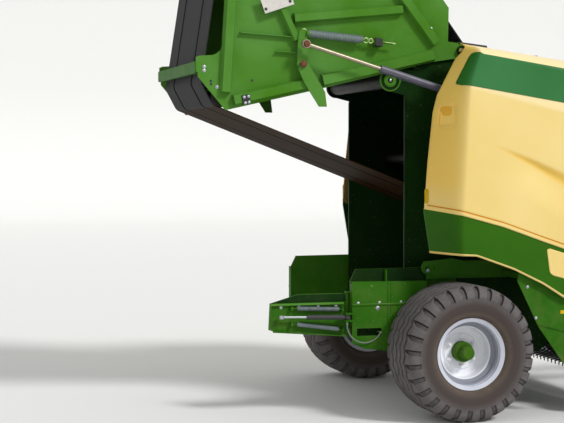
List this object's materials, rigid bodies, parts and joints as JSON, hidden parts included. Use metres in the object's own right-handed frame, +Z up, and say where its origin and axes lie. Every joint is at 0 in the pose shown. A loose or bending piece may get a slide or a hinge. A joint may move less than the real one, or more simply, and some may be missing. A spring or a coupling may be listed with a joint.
{
  "type": "round baler",
  "caption": "Towed round baler with raised hinged tailgate, rubber belts, tined pickup, side covers, wide tyres and a drawbar with jack.",
  "frame": {"origin": "on the ground, below the middle of the machine's overall length and width with the tailgate raised", "axes": "+X forward to the tractor, +Y to the left, +Z up"},
  "size_m": [5.16, 2.618, 3.692],
  "materials": {
    "green_paint": "gloss enamel",
    "dark_green_paint": "gloss enamel",
    "belt_rubber": "woven rubber belting, worn matt",
    "roller_steel": "worn painted steel",
    "gear_casting": "painted casting",
    "guard_plastic": "moulded",
    "yellow_moulding": "glossy moulded plastic",
    "zinc_sheet": "galvanised sheet",
    "tyre_rubber": "dusty rubber",
    "rim_paint": "silver lacquer",
    "cylinder_paint": "satin paint",
    "chrome_rod": "polished"
  },
  "bodies": {
    "chassis": {"chassis_frame": "dark_green_paint", "axle": "dark_green_paint", "drawbar": "dark_green_paint", "chamber_wall_right": "dark_green_paint", "chamber_wall_left": "dark_green_paint", "chamber_rollers": "roller_steel", "front_belts": "belt_rubber", "free_belts": "belt_rubber", "gearbox": "gear_casting", "drive_shaft": "guard_plastic", "front_hood": "yellow_moulding", "skirts": "dark_green_paint", "side_boxes": "green_paint", "chain_drive": "roller_steel", "intake": "dark_green_paint"},
    "tailgate": {"tailgate_wall_right": "green_paint", "tailgate_wall_left": "green_paint", "tailgate_beams": "dark_green_paint", "tailgate_rollers": "roller_steel", "tail_belts": "belt_rubber", "lock_right": "green_paint", "lock_left": "green_paint"},
    "lift_barrel_right": {"lift_barrel_right": "cylinder_paint"},
    "lift_rod_right": {"lift_rod_right": "chrome_rod"},
    "lift_barrel_left": {"lift_barrel_left": "cylinder_paint"},
    "lift_rod_left": {"lift_rod_left": "chrome_rod"},
    "cover_right": {"cover_right": "yellow_moulding"},
    "cover_left": {"cover_left": "yellow_moulding"},
    "pickup": {"pickup_frame": "dark_green_paint", "pickup_bands": "zinc_sheet", "crop_guard": "dark_green_paint"},
    "pickup_reel": {"pickup_reel": "roller_steel"},
    "gauge_wheel_right": {"gauge_wheel_right": "tyre_rubber"},
    "gauge_wheel_left": {"gauge_wheel_left": "tyre_rubber"},
    "feed_rotor": {"feed_rotor": "roller_steel"},
    "jack_leg": {"jack_leg": "zinc_sheet"},
    "bale_flap": {"bale_flap": "green_paint"},
    "flap_barrel": {"flap_barrel": "cylinder_paint"},
    "flap_rod": {"flap_rod": "chrome_rod"},
    "wheel_right": {"tyre_right": "tyre_rubber", "rim_right": "rim_paint", "hub_right": "green_paint"},
    "wheel_left": {"tyre_left": "tyre_rubber", "rim_left": "rim_paint", "hub_left": "green_paint"}
  },
  "joints": [
    {"name": "wheel_right", "type": "hinge", "parent": "chassis", "child": "wheel_right", "pos_m": [-0.815, -1.06, 0.465], "axis": [0, 1, 0], "continuous": true},
    {"name": "wheel_left", "type": "hinge", "parent": "chassis", "child": "wheel_left", "pos_m": [-0.815, 1.06, 0.465], "axis": [0, 1, 0], "continuous": true},
    {"name": "tailgate", "type": "hinge", "parent": "chassis", "child": "tailgate", "pos_m": [-0.645, 0, 2.55], "axis": [0, 1, 0], "range_deg": [-58, 0], "deforming": ["free_belts"]},
    {"name": "lift_barrel_right", "type": "hinge", "parent": "chassis", "child": "lift_barrel_right", "pos_m": [-0.415, -0.775, 2.14], "axis": [0, 1, 0], "range_deg": [-60, 5]},
    {"name": "lift_rod_right", "type": "slide", "parent": "lift_barrel_right", "child": "lift_rod_right", "axis": [-0.9581, 0, 0.2865], "range_m": [-0.46, 0.02]},
    {"name": "lift_barrel_left", "type": "hinge", "parent": "chassis", "child": "lift_barrel_left", "pos_m": [-0.415, 0.775, 2.14], "axis": [0, 1, 0], "range_deg": [-60, 5]},
    {"name": "lift_rod_left", "type": "slide", "parent": "lift_barrel_left", "child": "lift_rod_left", "axis": [-0.9581, 0, 0.2865], "range_m": [-0.46, 0.02]},
    {"name": "cover_right", "type": "hinge", "parent": "chassis", "child": "cover_right", "pos_m": [-0.705, -0.77, 2.545], "axis": [-0.9919, 0, 0.1268], "range_deg": [0, 60]},
    {"name": "cover_left", "type": "hinge", "parent": "chassis", "child": "cover_left", "pos_m": [-0.705, 0.77, 2.545], "axis": [0.9919, 0, -0.1268], "range_deg": [0, 60]},
    {"name": "pickup", "type": "hinge", "parent": "chassis", "child": "pickup", "pos_m": [0.005, 0, 0.84], "axis": [0, 1, 0], "range_deg": [0, 9]},
    {"name": "pickup_reel", "type": "hinge", "parent": "pickup", "child": "pickup_reel", "pos_m": [0.485, 0, 0.43], "axis": [0, 1, 0], "continuous": true},
    {"name": "gauge_wheel_right", "type": "hinge", "parent": "pickup", "child": "gauge_wheel_right", "pos_m": [0.27, -1.13, 0.235], "axis": [0, 1, 0], "continuous": true},
    {"name": "gauge_wheel_left", "type": "hinge", "parent": "pickup", "child": "gauge_wheel_left", "pos_m": [0.27, 1.13, 0.235], "axis": [0, 1, 0], "continuous": true},
    {"name": "feed_rotor", "type": "hinge", "parent": "chassis", "child": "feed_rotor", "pos_m": [-0.185, 0, 0.64], "axis": [0, 1, 0], "continuous": true},
    {"name": "jack", "type": "slide", "parent": "chassis", "child": "jack_leg", "axis": [0, 0, 1], "range_m": [0, 0.3]},
    {"name": "bale_flap", "type": "hinge", "parent": "chassis", "child": "bale_flap", "pos_m": [-1.52, -0.724, 0.7], "axis": [0, 0, 1], "range_deg": [0, 40]},
    {"name": "flap_barrel", "type": "hinge", "parent": "chassis", "child": "flap_barrel", "pos_m": [-1.54, -0.8, 0.69], "axis": [0, 0, 1], "range_deg": [-2, 50]},
    {"name": "flap_rod", "type": "slide", "parent": "flap_barrel", "child": "flap_rod", "axis": [-0.9983, 0.0537, 0.0215], "range_m": [-0.06, 0.01]}
  ],
  "couplings": [
    {"joint": "lift_barrel_right", "follows": "tailgate", "ratio": 0.87501},
    {"joint": "lift_rod_right", "follows": "tailgate", "m_per_rad": 0.42244},
    {"joint": "lift_barrel_left", "follows": "tailgate", "ratio": 0.87501},
    {"joint": "lift_rod_left", "follows": "tailgate", "m_per_rad": 0.42244},
    {"joint": "flap_barrel", "follows": "bale_flap", "ratio": 1.0961},
    {"joint": "flap_rod", "follows": "bale_flap", "m_per_rad": -0.064181}
  ]
}
